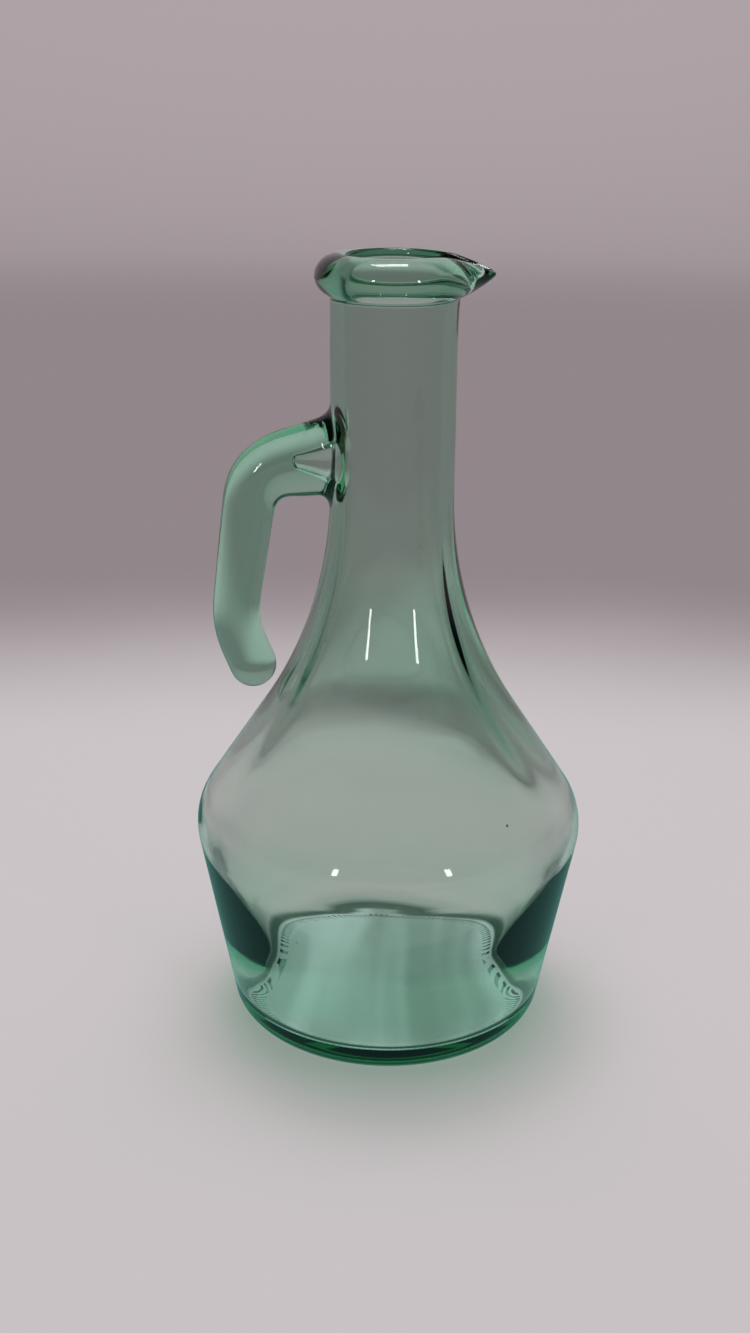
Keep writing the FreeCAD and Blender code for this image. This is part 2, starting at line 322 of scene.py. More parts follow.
class Graph:
    """The node tree of one material, or of the world."""

    def __init__(self, tree: bpy.types.NodeTree) -> None:
        """Takes a tree and empties it."""
        self.tree = tree
        self.tree.nodes.clear()

    def node(
        self,
        kind: str,
        settings: dict[str, object] | None = None,
        inputs: dict[str | int, object] | None = None,
        output: str | int = 0,
    ) -> Wire:
        """Makes one node.

        Args:
            kind: the node's type.
            settings: its own settings, which are set first.
            inputs: values or wires for its sockets, by name or number.
            output: the output that the wire reads.

        Returns:
            That output as a wire.
        """
        return Wire(self, self.make(kind, settings, inputs).outputs[output])

    def make(
        self,
        kind: str,
        settings: dict[str, object] | None = None,
        inputs: dict[str | int, object] | None = None,
    ) -> bpy.types.Node:
        """Makes a node with its settings, then fills its sockets.

        Args:
            kind: the node's type.
            settings: its own settings, which are set first.
            inputs: values or wires for its sockets, by name or number.

        Returns:
            The node itself.
        """
        made = self.tree.nodes.new(kind)
        for name, value in (settings or {}).items():
            setattr(made, name, value)
        for name, value in (inputs or {}).items():
            if isinstance(value, Wire):
                self.tree.links.new(value.socket, made.inputs[name])
            else:
                made.inputs[name].default_value = value
        return made

    def also(self, wire: Wire, output: str) -> Wire:
        """Another output of the node that a wire comes from."""
        return Wire(self, wire.socket.node.outputs[output])

    def length(self, vector: Wire) -> Wire:
        """The length of a vector."""
        return self.node("ShaderNodeVectorMath", {"operation": "LENGTH"}, {0: vector}, "Value")

    def smooth_step(self, value: Wire, low: float, high: float) -> Wire:
        """A smooth rise from 0 to 1.

        Args:
            value: what is read.
            low: where the rise starts.
            high: where it ends.

        Returns:
            The rise as a wire.
        """
        settings = {"interpolation_type": "SMOOTHSTEP"}
        limits = {"Value": value, "From Min": low, "From Max": high}
        return self.node("ShaderNodeMapRange", settings, limits)

    def blend(self, share: Wire | Number, first: Wire | Colour, second: Wire | Colour) -> Wire:
        """A mix of two colours.

        Args:
            share: how much of the second.
            first: the colour at 0.
            second: the colour at 1.

        Returns:
            The mixed colour as a wire.
        """
        full = [c if isinstance(c, Wire) else (*c, 1.0) for c in (first, second)]
        sockets = {0: share, 6: full[0], 7: full[1]}  # factor, A and B of a colour mix
        return self.node("ShaderNodeMix", {"data_type": "RGBA"}, sockets, 2)


def new_material(name: str) -> tuple[bpy.types.Material, Graph]:
    """Makes an empty node material.

    Args:
        name: what it is called.

    Returns:
        The material and its graph.
    """
    material = bpy.data.materials.new(name)
    material.use_nodes = True
    return material, Graph(material.node_tree)


# ---- the finishes -----------------------------------------------------------------------------


@dataclass(frozen=True)
class BottleGlass:
    """Clear bottle glass, green from the iron in its sand and faintly uneven from the blowing."""

    index: float = 1.52
    face: Colour = (0.925, 0.895, 0.895)  # what the faces let through: a plain grey loss, painted shade for the shaded table seen through
    passed: Colour = (0.05, 0.75, 0.44)  # what each colour keeps, in the volume's own measure
    density: float = 84.0  # per metre
    lamp_share: Colour = (0.985, 0.915, 0.940)  # what one surface lets a lamp's light keep
    ripple_size: float = 60.0  # waves per metre
    ripple_depth: float = 0.00012  # metres
    knurl_count: float = 128.0  # the small ridges moulded round the standing ring
    knurl_reach: Span = (0.0262, 0.0296)  # metres from the axis
    knurl_edge: float = 0.0006  # over which the ridges fade in and out
    knurl_height: float = 0.0012  # above the table, where they end
    knurl_share: float = 1.6  # how high they are, over the ripples

    def make(self) -> bpy.types.Material:
        """Builds the material.

        Returns:
            The material, clear, with its colour in the depth of the glass.
        """
        material, graph = new_material("bottle_glass")
        place = graph.node("ShaderNodeTexCoord", output="Object")
        ripple = graph.node(
            "ShaderNodeTexNoise",
            None,
            {"Vector": place, "Scale": self.ripple_size, "Detail": 1.0, "Roughness": 0.4},
        )
        relief = ripple + self.knurl(graph, place)
        bump = graph.node(
            "ShaderNodeBump",
            None,
            {"Height": relief, "Strength": 1.0, "Distance": self.ripple_depth},
        )
        clear = graph.node(
            "ShaderNodeBsdfPrincipled",
            None,
            {
                # the faces' tint is painted shade: a grey loss on all that is seen through the
                # glass
                "Base Color": (*self.face, 1.0),
                "Roughness": 0.0,
                "IOR": self.index,
                "Transmission Weight": 1.0,
                "Normal": bump,
            },
        )
        lamp_ray = graph.node("ShaderNodeLightPath", output="Is Shadow Ray")
        passing = graph.node("ShaderNodeBsdfTransparent", None, {"Color": (*self.lamp_share, 1.0)})
        surface = graph.node("ShaderNodeMixShader", None, {0: lamp_ray, 1: clear, 2: passing})
        depth = graph.node(
            "ShaderNodeVolumeAbsorption",
            None,
            {"Color": (*self.passed, 1.0), "Density": self.density},
        )
        graph.make("ShaderNodeOutputMaterial", None, {"Surface": surface, "Volume": depth})
        return material

    def knurl(self, graph: Graph, place: Wire) -> Wire:
        """The ridges round the standing ring.

        Args:
            graph: the material's graph.
            place: the place on the bottle.

        Returns:
            Their height, 0 away from the ring.
        """
        across = graph.node("ShaderNodeSeparateXYZ", None, {0: place})
        deep, up = graph.also(across, "Y"), graph.also(across, "Z")
        turn = graph.node("ShaderNodeMath", {"operation": "ARCTAN2"}, {0: deep, 1: across})
        ridge = graph.node("ShaderNodeMath", {"operation": "SINE"}, {0: turn * self.knurl_count})
        reach = (across * across + deep * deep) ** 0.5
        low, high = self.knurl_reach
        inner = graph.smooth_step(reach, low, low + self.knurl_edge)
        outer = 1.0 - graph.smooth_step(reach, high - self.knurl_edge, high)
        near = 1.0 - graph.smooth_step(up, 0.5 * self.knurl_height, self.knurl_height)
        return self.knurl_share * ridge * inner * outer * near


@dataclass(frozen=True)
class StudioPaper:
    """The pale table that turns into a mauve-grey backdrop some way behind the cruet.

    The glass is shown a painted dark room before the table, mirrors the near table as a painted
    dark reflection, and sees painted light and shade on the table under its own floor. Those three
    are painted on this stage and not on the glass.
    """

    table: Colour = (0.535, 0.500, 0.512)
    backdrop: Colour = (0.285, 0.240, 0.256)
    upper_backdrop: Colour = (0.430, 0.370, 0.390)
    dim_room: Colour = (0.020, 0.056, 0.046)  # painted shade: what the glass is shown of the room before the table, dark and greenish
    dim_above: Span = (0.10, 0.32)  # the heights over which the dim room starts
    dim_before: Span = (-0.50, 0.35)  # forward of this it is full, and behind this it has ended
    dim_slant: float = 0.60  # it reaches this much further back for each metre to the side
    painted_table_reflection: Colour = (0.10, 0.27, 0.24)  # painted reflection: the near table as the glass mirrors it, dark teal
    painted_caustic_light: Colour = (0.92, 0.85, 0.96)  # painted light: the bright caustic streaks on the table under the bottle's floor
    painted_streak_shade: Colour = (0.42, 0.42, 0.45)  # painted shade between those streaks
    streak_size: float = 55.0  # streaks per metre
    streak_stretch: float = 0.12  # their width over their length
    streak_edges: Span = (0.35, 0.65)
    painted_contact_shade: Colour = (0.012, 0.060, 0.038)  # painted shade under the standing ring, seen through the glass
    floor_reach: Span = (0.0300, 0.0318)  # metres from the axis, from the painted light to that painted shade
    ring_reach: Span = (0.0345, 0.042)  # and from there to the plain table
    painted_caustic_share: float = 0.85  # how much of the lamps' light on the paper the painted light and shade under the floor replace
    table_reach: Span = (0.155, 0.355)  # metres from the axis, from the table to the backdrop
    upper_reach: Span = (1.1, 2.2)  # and from the lower backdrop to the upper
    side_stretch: float = 0.6  # sideways the table reaches further, by 1 over this
    grain_size: float = 9.0  # how uneven the table's edge is, in waves per metre
    grain_depth: float = 0.03  # metres

    def make(self) -> bpy.types.Material:
        """Builds the material.

        Returns:
            A matt paper that the lamps light near the cruet, and that shines in its own colour
            far away.
        """
        material, graph = new_material("studio_paper")
        place = graph.node("ShaderNodeNewGeometry", output="Position")
        stretch = {0: place, 1: (self.side_stretch, 1.0, 1.0)}
        wide = graph.node("ShaderNodeVectorMath", {"operation": "MULTIPLY"}, stretch)
        reach = graph.length(wide)
        waves = {"Vector": place, "Scale": self.grain_size, "Detail": 2.0}
        grain = graph.node("ShaderNodeTexNoise", None, waves)
        distance = reach + self.grain_depth * (grain - 0.5)
        far = graph.smooth_step(distance, *self.table_reach)
        upper = graph.smooth_step(reach, *self.upper_reach)
        wall = graph.blend(upper, self.backdrop, self.upper_backdrop)
        colour = graph.blend(far, self.table, wall)
        matt = graph.node("ShaderNodeBsdfDiffuse", None, {"Color": colour})
        forward = graph.node("ShaderNodeSeparateXYZ", None, {0: place}, "Y")
        side = graph.also(forward, "X")
        high = graph.smooth_step(graph.also(forward, "Z"), *self.dim_above)
        slanted = forward - self.dim_slant * (side**2.0) ** 0.5
        behind = graph.smooth_step(slanted, *self.dim_before) | (1.0 - high)
        # painted shade: away from the camera's own view, the paper before the table and low down
        # shows the dark room
        room = graph.blend(behind, self.dim_room, colour)
        camera_ray = graph.node("ShaderNodeLightPath", output="Is Camera Ray")
        mirror_ray = graph.also(camera_ray, "Is Glossy Ray")
        glass_ray = graph.also(camera_ray, "Is Transmission Ray")
        reflected = mirror_ray * graph.also(camera_ray, "Is Reflection Ray")
        shown = graph.blend(camera_ray, room, colour)
        # painted reflection: the glass mirrors the near table in a dark teal
        shown = graph.blend(reflected * (1.0 - far), shown, self.painted_table_reflection)
        axis_reach = graph.length(place)
        # painted light under the bottle's floor: caustic streaks with painted shade between them
        light = graph.blend(self.streaks(graph, side, forward), self.painted_streak_shade, self.painted_caustic_light)
        # painted shade: a dark ring on the table under the standing ring
        light = graph.blend(graph.smooth_step(axis_reach, *self.floor_reach), light, self.painted_contact_shade)
        under = 1.0 - graph.smooth_step(axis_reach, *self.ring_reach)
        # painted light and shade under the bottle, shown only to rays that come through the glass
        through = glass_ray * (1.0 - reflected) * under * (1.0 - camera_ray)
        shown = graph.blend(through, shown, light)
        glow = graph.node("ShaderNodeEmission", None, {"Color": shown, "Strength": 1.0})
        seen = (camera_ray | mirror_ray | glass_ray) * far | reflected
        seen = seen | self.painted_caustic_share * through
        surface = graph.node("ShaderNodeMixShader", None, {0: seen, 1: matt, 2: glow})
        graph.make("ShaderNodeOutputMaterial", None, {"Surface": surface})
        return material

    def streaks(self, graph: Graph, side: Wire, forward: Wire) -> Wire:
        """The painted streaks of caustic light under the bottle, which run from front to back.

        Args:
            graph: the material's graph.
            side: the place across the table.
            forward: the place along it.

        Returns:
            1 in the painted light and 0 in the painted shade between.
        """
        drawn = {"X": side, "Y": self.streak_stretch * forward}
        place = graph.node("ShaderNodeCombineXYZ", None, drawn)
        waves = {"Vector": place, "Scale": self.streak_size, "Detail": 2.0, "Distortion": 0.6}
        noise = graph.node("ShaderNodeTexNoise", None, waves)
        return graph.smooth_step(noise, *self.streak_edges)


# ---- the bottle -------------------------------------------------------------------------------


class Side(Enum):
    """The two faces of the glass wall."""

    OUTER = "outer"
    INNER = "inner"


@dataclass(frozen=True)
class Row:
    """One circle of the bottle's skin, and how far the pouring lip pulls it out at its middle."""

    side: Side
    radius: float
    height: float
    pull: float = 0.0
    drop: float = 0.0
    lip_angle: float = 0.0  # how far round the pull reaches, in degrees


@dataclass(frozen=True)
class Steps:
    """Into how many steps each stretch of the profile is divided."""

    recess: int = 7
    heel: int = 14
    body: int = 22
    belt: int = 16
    cone: int = 16
    sweep: int = 46
    neck: int = 48
    bead: int = 26
    crest: int = 8
    bore: int = 52
    inside: int = 104
    floor_corner: int = 10
    floor: int = 12


@dataclass(frozen=True)
class Wave:
    """One wave of the blown inner face, which winds round the bottle."""

    around: float  # how many times it swings on the way round
    climb: float  # how it turns with the height, in radians per millimetre
    start: float  # radians
    share: float  # of the waviness

    def read(self, angle: float, height: float) -> float:
        """The wave at an angle and a height."""
        return self.share * math.sin(self.around * angle + self.climb * height + self.start)


@dataclass
class BottleWall:
    """The bottle's body, neck and rolled mouth, in profile. Sizes in millimetres."""

    height: float
    belt_radius: float
    belt_height: float = 46.2
    stand_radius: float = 28.3
    heel_round: float = 7.0
    belt_round: float = 14.2
    shoulder_angle: float = 33.6
    neck_radius: float = 13.1
    neck_sweep: float = 87.0
    recess_radius: float = 26.0
    recess_depth: float = 0.6
    floor_edge: float = 5.5
    floor_crown: float = 2.0
    floor_corner: float = 3.0
    bore_radius: float = 10.0
    lip_half_width: float = 5.1
    lip_half_height: float = 4.4
    crest_radius: float = 11.2
    foot_wall: float = 3.0  # the wall's thickness, measured level, at the floor
    low_wall: float = 4.2
    low_wall_height: float = 17.0
    belt_wall: float = 1.4
    belt_band: float = 3.0  # how far above the belt's middle the wall stays thin
    shoulder_wall: float = 4.4
    shoulder_rise: float = 26.0  # how far above the belt the wall is that thick
    waviness: float = 0.05  # how uneven the blown inner face is
    waves: tuple[Wave, ...] = (
        Wave(3.0, 0.11, 0.0, 1.0),
        Wave(5.0, -0.16, 1.3, 0.8),
        Wave(2.0, -0.07, 0.4, 0.7),
        Wave(9.0, 0.21, 0.0, 0.4),
    )
    wave_fall: Span = (92.0, 18.0)  # the height where the waves fade, and over how much
    lopsided: float = 1.0  # how far the shoulder's inner face lies off the axis, to the handle
    lopsided_zone: tuple[float, ...] = (46.0, 20.0, 74.0, 40.0)  # as swell takes it
    fold_angles: tuple[float, ...] = (-24.0, -156.0, 24.0, 156.0)  # the soft upright folds inside
    fold_width: float = 7.0  # degrees
    fold_depth: float = 0.34
    fold_zone: tuple[float, ...] = (54.0, 12.0, 92.0, 34.0)
    steps: Steps = Steps()

    def __post_init__(self) -> None:
        """Works out where the straight runs and the curves of the profile meet."""
        self.belt_centre = self.belt_radius - self.belt_round
        across = self.belt_centre - self.stand_radius
        up = self.belt_height - self.heel_round
        turn = math.asin((self.belt_round - self.heel_round) / math.hypot(across, up))
        self.lean = math.atan2(across, up) + turn
        self.heel_end = self.heel_round * (1.0 - math.sin(self.lean))
        self.heel_end_radius = self.stand_radius + self.heel_round * math.cos(self.lean)
        self.belt_start = self.belt_height - self.belt_round * math.sin(self.lean)
        slope = math.radians(self.shoulder_angle)
        self.belt_end = self.belt_height + self.belt_round * math.sin(slope)
        self.belt_end_radius = self.belt_centre + self.belt_round * math.cos(slope)
        self.sweep_centre = self.neck_radius + self.neck_sweep
        sweep_radius = self.sweep_centre - self.neck_sweep * math.cos(slope)
        self.sweep_start = self.belt_end + (self.belt_end_radius - sweep_radius) / math.tan(slope)
        self.neck_start = self.sweep_start + self.neck_sweep * math.sin(slope)
        self.lip_height = self.height - self.lip_half_height
        self.crest_round = self.crest_radius - self.bore_radius

    def outer_radius(self, height: float) -> float:
        """The radius of the outer face.

        Args:
            height: a height between the standing ring and the mouth.

        Returns:
            The radius there.
        """
        if height < self.heel_end:
            down = self.heel_round - height
            return self.stand_radius + math.sqrt(self.heel_round**2 - down**2)
        if height < self.belt_start:
            return self.heel_end_radius + (height - self.heel_end) * math.tan(self.lean)
        if height < self.belt_end:
            up = height - self.belt_height
            return self.belt_centre + math.sqrt(self.belt_round**2 - up**2)
        if height < self.sweep_start:
            slope = math.tan(math.radians(self.shoulder_angle))
            return self.belt_end_radius - (height - self.belt_end) * slope
        if height < self.neck_start:
            down = self.neck_start - height
            return self.sweep_centre - math.sqrt(self.neck_sweep**2 - down**2)
        return self.neck_radius

    def thickness(self, height: float) -> float:
        """The wall's thickness, measured level.

        Args:
            height: a height above the floor.

        Returns:
            The thickness there.
        """
        zones = [
            (self.floor_edge, self.foot_wall),
            (self.low_wall_height, self.low_wall),
            (self.belt_start, self.belt_wall),
            (self.belt_height + self.belt_band, self.belt_wall),
            (self.belt_height + self.shoulder_rise, self.shoulder_wall),
            (self.neck_start, self.neck_radius - self.bore_radius),
        ]
        for (low, before), (high, after) in zip(zones, zones[1:]):
            if height <= high:
                return mix(before, after, ease((height - low) / (high - low)))
        return zones[-1][1]

    def inner_radius(self, height: float) -> float:
        """The inside radius at a height above the floor's corner."""
        return self.outer_radius(height) - self.thickness(height)

    def radius(self, side: Side, height: float) -> float:
        """The radius of either face at a height."""
        return self.outer_radius(height) if side is Side.OUTER else self.inner_radius(height)

    def outer_rows(self) -> list[Row]:
        """Draws the outer face.

        Returns:
            Its rows, from the recess under the floor up to the crest of the mouth.
        """
        steps = self.steps
        rows = [
            Row(Side.OUTER, radius, self.recess_depth * (1.0 - (radius / self.recess_radius) ** 2))
            for radius in spread(0.0, self.recess_radius, steps.recess)[1:]
        ]
        rows.append(Row(Side.OUTER, 0.5 * (self.recess_radius + self.stand_radius), 0.0))
        for angle in spread(-90.0, -math.degrees(self.lean), steps.heel):
            turn = math.radians(angle)
            radius = self.stand_radius + self.heel_round * math.cos(turn)
            rows.append(Row(Side.OUTER, radius, self.heel_round * (1.0 + math.sin(turn))))
        heights = spread(self.heel_end, self.belt_start, steps.body)[1:]
        heights += spread(self.belt_start, self.belt_end, steps.belt)[1:]
        heights += spread(self.belt_end, self.sweep_start, steps.cone)[1:]
        heights += spread(self.sweep_start, self.neck_start, steps.sweep)[1:]
        root = (self.neck_radius - self.crest_radius) / self.lip_half_width
        neck_top = self.lip_height - self.lip_half_height * math.sqrt(1.0 - root**2)
        heights += spread(self.neck_start, neck_top, steps.neck)[1:]
        rows += [self.neck_row(Side.OUTER, height) for height in heights]
        for angle in spread(-math.degrees(math.acos(root)), 90.0, steps.bead)[1:]:
            turn = math.radians(angle)
            rows.append(
                Row(
                    Side.OUTER,
                    self.crest_radius + self.lip_half_width * math.cos(turn),
                    self.lip_height + self.lip_half_height * math.sin(turn),
                    glide(LIP_PULL, angle),
                    glide(LIP_DROP, angle),
                    glide(LIP_ANGLE, angle),
                )
            )
        return rows

    def neck_row(self, side: Side, height: float) -> Row:
        """Draws one row of the body or the neck.

        Args:
            side: the face that it lies on.
            height: its height.

        Returns:
            The row, with the part of the lip's pull that reaches down to it.
        """
        pull, drop, angle = NECK_PULL, (), NECK_ANGLE
        if side is Side.INNER:
            pull, drop, angle = BORE_PULL, BORE_DROP, BORE_ANGLE
        below_crest = self.height - height
        return Row(
            side,
            self.radius(side, height),
            height,
            glide(pull, below_crest),
            glide(drop, below_crest) if drop else 0.0,
            angle,
        )

    def inner_rows(self) -> list[Row]:
        """Draws the inner face.

        Returns:
            Its rows, from the rounded crest down to the floor.
        """
        steps = self.steps
        rows = []
        for angle in spread(90.0, 180.0, steps.crest)[1:]:
            turn = math.radians(angle)
            height = self.height - self.crest_round + self.crest_round * math.sin(turn)
            radius = self.crest_radius + self.crest_round * math.cos(turn)
            fade = (angle - 90.0) / 90.0
            rows.append(
                Row(
                    Side.INNER,
                    radius,
                    height,
                    mix(LIP_PULL[-1][1], BORE_PULL[0][1], fade),
                    mix(LIP_DROP[-1][1], BORE_DROP[0][1], fade),
                    mix(LIP_ANGLE[-1][1], BORE_ANGLE, fade),
                )
            )
        foot = self.floor_edge + self.floor_corner
        heights = spread(self.height - self.crest_round, self.neck_start, steps.bore)[1:]
        heights += spread(self.neck_start, foot, steps.inside)[1:]
        rows += [self.neck_row(Side.INNER, height) for height in heights]
        corner = rows[-1].radius - self.floor_corner
        for angle in spread(0.0, 90.0, steps.floor_corner)[1:]:
            turn = math.radians(angle)
            radius = corner + self.floor_corner * math.cos(turn)
            rows.append(Row(Side.INNER, radius, foot - self.floor_corner * math.sin(turn)))
        for share in spread(1.0, 0.0, steps.floor)[1:-1]:
            rise = self.floor_crown * (1.0 - share**2)
            rows.append(Row(Side.INNER, corner * share, self.floor_edge + rise))
        return rows

    def unevenness(self, side: Side, angle: float, height: float) -> float:
        """How far a point of the skin stands out of the true circle.

        Args:
            side: the face that it lies on.
            angle: the angle round the axis from +X, in radians.
            height: its height.

        Returns:
            The distance in millimetres, below 0 towards the axis.
        """
        if side is Side.OUTER:
            return 0.0
        fall_at, fall = self.wave_fall
        body = 1.0 - ease((height - fall_at) / fall)
        wave = sum(each.read(angle, height) for each in self.waves)
        lean = self.lopsided * math.cos(angle) * swell(height, *self.lopsided_zone)
        fold = 0.0
        for middle in self.fold_angles:
            away = math.degrees(math.remainder(angle - math.radians(middle), FULL_TURN))
            fold += math.exp(-((away / self.fold_width) ** 2))
        fold *= self.fold_depth * swell(height, *self.fold_zone)
        return self.waviness * body * wave - lean - fold

    def place(self, row: Row, angle: float, height: float | None = None) -> Vector:
        """A point of the skin.

        Args:
            row: the row that it belongs to.
            angle: the angle round the axis from +X, in radians.
            height: another height, for rows that a branch pushes aside.

        Returns:
            The point, in millimetres.
        """
        radius = row.radius if height is None else self.radius(row.side, height)
        level = row.height if height is None else height
        radius += self.unevenness(row.side, angle, level) * min(1.0, radius / self.bore_radius)
        if row.pull or row.drop:
            share = self.lip_share(angle, row.lip_angle)
            radius += row.pull * share
            level -= row.drop * share
        return round_point(radius, angle, level)

    def lip_share(self, angle: float, reach: float) -> float:
        """How much of the lip's pull is felt at an angle round the axis.

        Args:
            angle: that angle from +X, in radians.
            reach: how far round the pull reaches, in degrees.

        Returns:
            1 at the middle of the lip, and less to either side.
        """
        away = math.degrees(abs(math.remainder(angle, FULL_TURN)))
        away = math.hypot(away, LIP_TIP_ROUND) - LIP_TIP_ROUND
        return math.exp(-((away / reach) ** LIP_SHARPNESS))


# The pouring lip: how far the middle of the bead is drawn out and lowered, and how far round that
# is felt in degrees, by the place on the bead. Places run from the bead's underside, -68, over its
# outer edge, 0, to the crest, 90.
LIP_PULL = (
    (-68.2, 0.3), (-45.0, 0.9), (-20.0, 2.6), (5.0, 3.95), (25.0, 4.6), (50.0, 5.5), (90.0, 8.0)
)
LIP_DROP = (
    (-68.2, 0.3), (-45.0, 0.1), (-20.0, -0.2), (5.0, 0.3), (25.0, 1.2), (50.0, 2.3), (90.0, 3.4)
)
LIP_ANGLE = ((-68.2, 15.0), (0.0, 11.0), (50.0, 12.5), (90.0, 14.0))
# The same for the faces below, by the distance below the crest.
NECK_PULL = ((8.5, 0.3), (11.0, 0.15), (16.0, 0.0))
NECK_ANGLE = 11.0
BORE_PULL = ((1.2, 7.0), (2.6, 4.9), (4.4, 2.9), (7.0, 1.3), (11.0, 0.4), (18.0, 0.0))
BORE_DROP = ((1.2, 2.8), (2.6, 2.1), (4.4, 1.2), (7.0, 0.3), (11.0, 0.0))
BORE_ANGLE = 17.0
LIP_SHARPNESS = 1.35
LIP_TIP_ROUND = 1.6  # degrees


@dataclass
class Section:
    """One oval section of a limb, in a plane that stands square to the XZ plane."""

    centre: Vector
    tilt: float  # the direction that the section faces, in degrees up from +X
    half_across: float
    half_depth: float

    def point(self, turn: float) -> Vector:
        """The point of the oval at a turn from its upper or outer side."""
        across = heading_point(self.tilt - 90.0, self.half_across * math.cos(turn))
        return self.centre + across - Vector((0.0, self.half_depth * math.sin(turn), 0.0))


@dataclass
class Limb:
    """Something that grows out of a face of the neck on the handle's side."""

    side: Side
    height: float  # of the middle of its root
    root_half_height: float
    root_half_arc: float
    sections: list[Section]
    fillet_steps: int = 8
    fillet_fullness: float = 1.17
    tip: Vector = field(default_factory=Vector)  # where the round end closes

    def close_end(self, steps: int) -> None:
        """Adds the sections of a round end.

        Args:
            steps: into how many steps the end is divided.
        """
        last = self.sections[-1]
        for angle in spread(0.0, 90.0, steps)[1:-1]:
            turn = math.radians(angle)
            centre = last.centre + heading_point(last.tilt, last.half_across * math.sin(turn))
            shrink = math.cos(turn)
            self.sections.append(
                Section(centre, last.tilt, last.half_across * shrink, last.half_depth * shrink)
            )
        self.tip = last.centre + heading_point(last.tilt, last.half_across)

    def grow(
        self,
        draft: MeshDraft,
        rim: Sequence[int],
        turns: Sequence[float],
        inward: Sequence[Vector],
    ) -> None:
        """Lays the limb's skin, from its root in the wall to its round end.

        Args:
            draft: the mesh so far.
            rim: the points round the window in the wall.
            turns: where each of them lies round the oval.
            inward: the direction from each along the wall to the window's middle.
        """
        first = [self.sections[0].point(turn) for turn in turns]
        second = [self.sections[1].point(turn) for turn in turns]
        rings = [list(rim)]
        for step in range(1, self.fillet_steps):
            from_root, leaving, to_end, arriving = curve_weights(step / self.fillet_steps)
            places = []
            for number, start in enumerate(rim):
                root = draft.points[start]
                end = first[number]
                pull = self.fillet_fullness * (end - root).length
                leave = inward[number] * pull
                arrive = (second[number] - end).normalized() * pull
                places.append(
                    root * from_root + leave * leaving + end * to_end + arrive * arriving
                )
            rings.append(draft.ring(places))
        for section in self.sections:
            rings.append(draft.ring([section.point(turn) for turn in turns]))
        draft.tube(rings)
        draft.fan(rings[-1], draft.add(self.tip))


@dataclass
class HandleShape:
    """The solid handle: an arm out of the neck, a hanging grip and a toe that turns back in."""

    root_height: float = 129.4
    start: float = 10.0  # the arm's sizes are counted from this distance from the axis
    droop: float = 12.0
    reach: float = 29.3
    corner_round: float = 9.5
    grip_lean: float = 7.9
    grip_length: float = 33.9
    toe_turn: float = 23.0
    toe_length: float = 10.3
    toe_bend_round: float = 19.0
    arm_half: float = 8.9
    arm_taper: float = 0.55
    grip_half: float = 5.6
    toe_half: float = 5.1
    half_depth: float = 5.2
    wall_gap: float = 3.1  # from the start to the outer face of the neck
    root_flare: float = 2.2  # how much taller than the arm its root is, at each edge
    root_half_arc: float = 8.1
    free_from: float = 6.0  # along the arm, where it has left the wall's fillet
    upright_run: float = 9.0  # over which the sections turn from the neck's line to the arm's
    upright_share: float = 0.7  # of the droop, by which the first sections stand upright
    section_gap: float = 0.85
    tilt_passes: int = 24  # how often the sections' tilts are smoothed
    half_passes: int = 12  # and their half heights
    line_passes: int = 9  # and the line itself
    end_steps: int = 10

    def trail(self) -> list[tuple[Vector, float, float]]:
        """The limb's line as small steps.

        Returns:
            The place, the heading in degrees and the half height at each step.
        """
        headings = [180.0 + self.droop, 270.0 - self.grip_lean, 270.0 + self.toe_turn]
        rounds = [self.corner_round, self.toe_bend_round]
        cuts = [
            radius * math.tan(math.radians(0.5 * (after - before)))
            for radius, before, after in zip(rounds, headings, headings[1:])
        ]
        arm = (self.reach - self.start) / math.cos(math.radians(self.droop))
        lengths = [arm - cuts[0], self.grip_length - cuts[0] - cuts[1], self.toe_length - cuts[1]]
        corner_half = mix(self.arm_half, self.grip_half, self.arm_taper)
        halves = [
            (self.arm_half, corner_half),
            (self.grip_half, self.toe_half),
            (self.toe_half, self.toe_half),
        ]
        place = Vector((-self.start, 0.0, self.root_height))
        steps: list[tuple[Vector, float, float]] = []
        for run, heading in enumerate(headings):
            count = max(2, round(lengths[run] / self.section_gap))
            for share in spread(0.0, 1.0, count)[:-1]:
                step = place + heading_point(heading, lengths[run] * share)
                steps.append((step, heading, mix(halves[run][0], halves[run][1], share)))
            place = place + heading_point(heading, lengths[run])
            if run < len(rounds):
                centre = place + heading_point(heading + 90.0, rounds[run])
                sweep = headings[run + 1] - heading
                count = max(3, round(math.radians(sweep) * rounds[run] / self.section_gap))
                for share in spread(0.0, 1.0, count)[:-1]:
                    angle = heading + sweep * share
                    step = centre + heading_point(angle - 90.0, rounds[run])
                    steps.append((step, angle, mix(halves[run][1], halves[run + 1][0], share)))
                place = centre + heading_point(headings[run + 1] - 90.0, rounds[run])
        steps.append((place, headings[-1], halves[-1][1]))
        return steps

    def limb(self) -> Limb:
        """Shapes the handle.

        Returns:
            The handle as a limb of the outer face.
        """
        steps = self.trail()
        tilts = smoothed([heading for _, heading, _ in steps], self.tilt_passes)
        halves = smoothed([half for _, _, half in steps], self.half_passes)
        xs = smoothed([place.x for place, _, _ in steps], self.line_passes)
        zs = smoothed([place.z for place, _, _ in steps], self.line_passes)
        sections = []
        for x, z, tilt, half in zip(xs, zs, tilts, halves):
            along = math.hypot(x + self.start, z - self.root_height)
            if along < self.free_from:
                continue
            upright = 1.0 - ease((along - self.free_from) / self.upright_run)
            tilt -= self.upright_share * self.droop * upright
            sections.append(Section(Vector((x, 0.0, z)), tilt, half, self.half_depth))
        centre = self.root_height - self.wall_gap * math.tan(math.radians(self.droop))
        root_half = self.arm_half + self.root_flare
        limb = Limb(Side.OUTER, centre, root_half, self.root_half_arc, sections)
        limb.close_end(self.end_steps)
        return limb


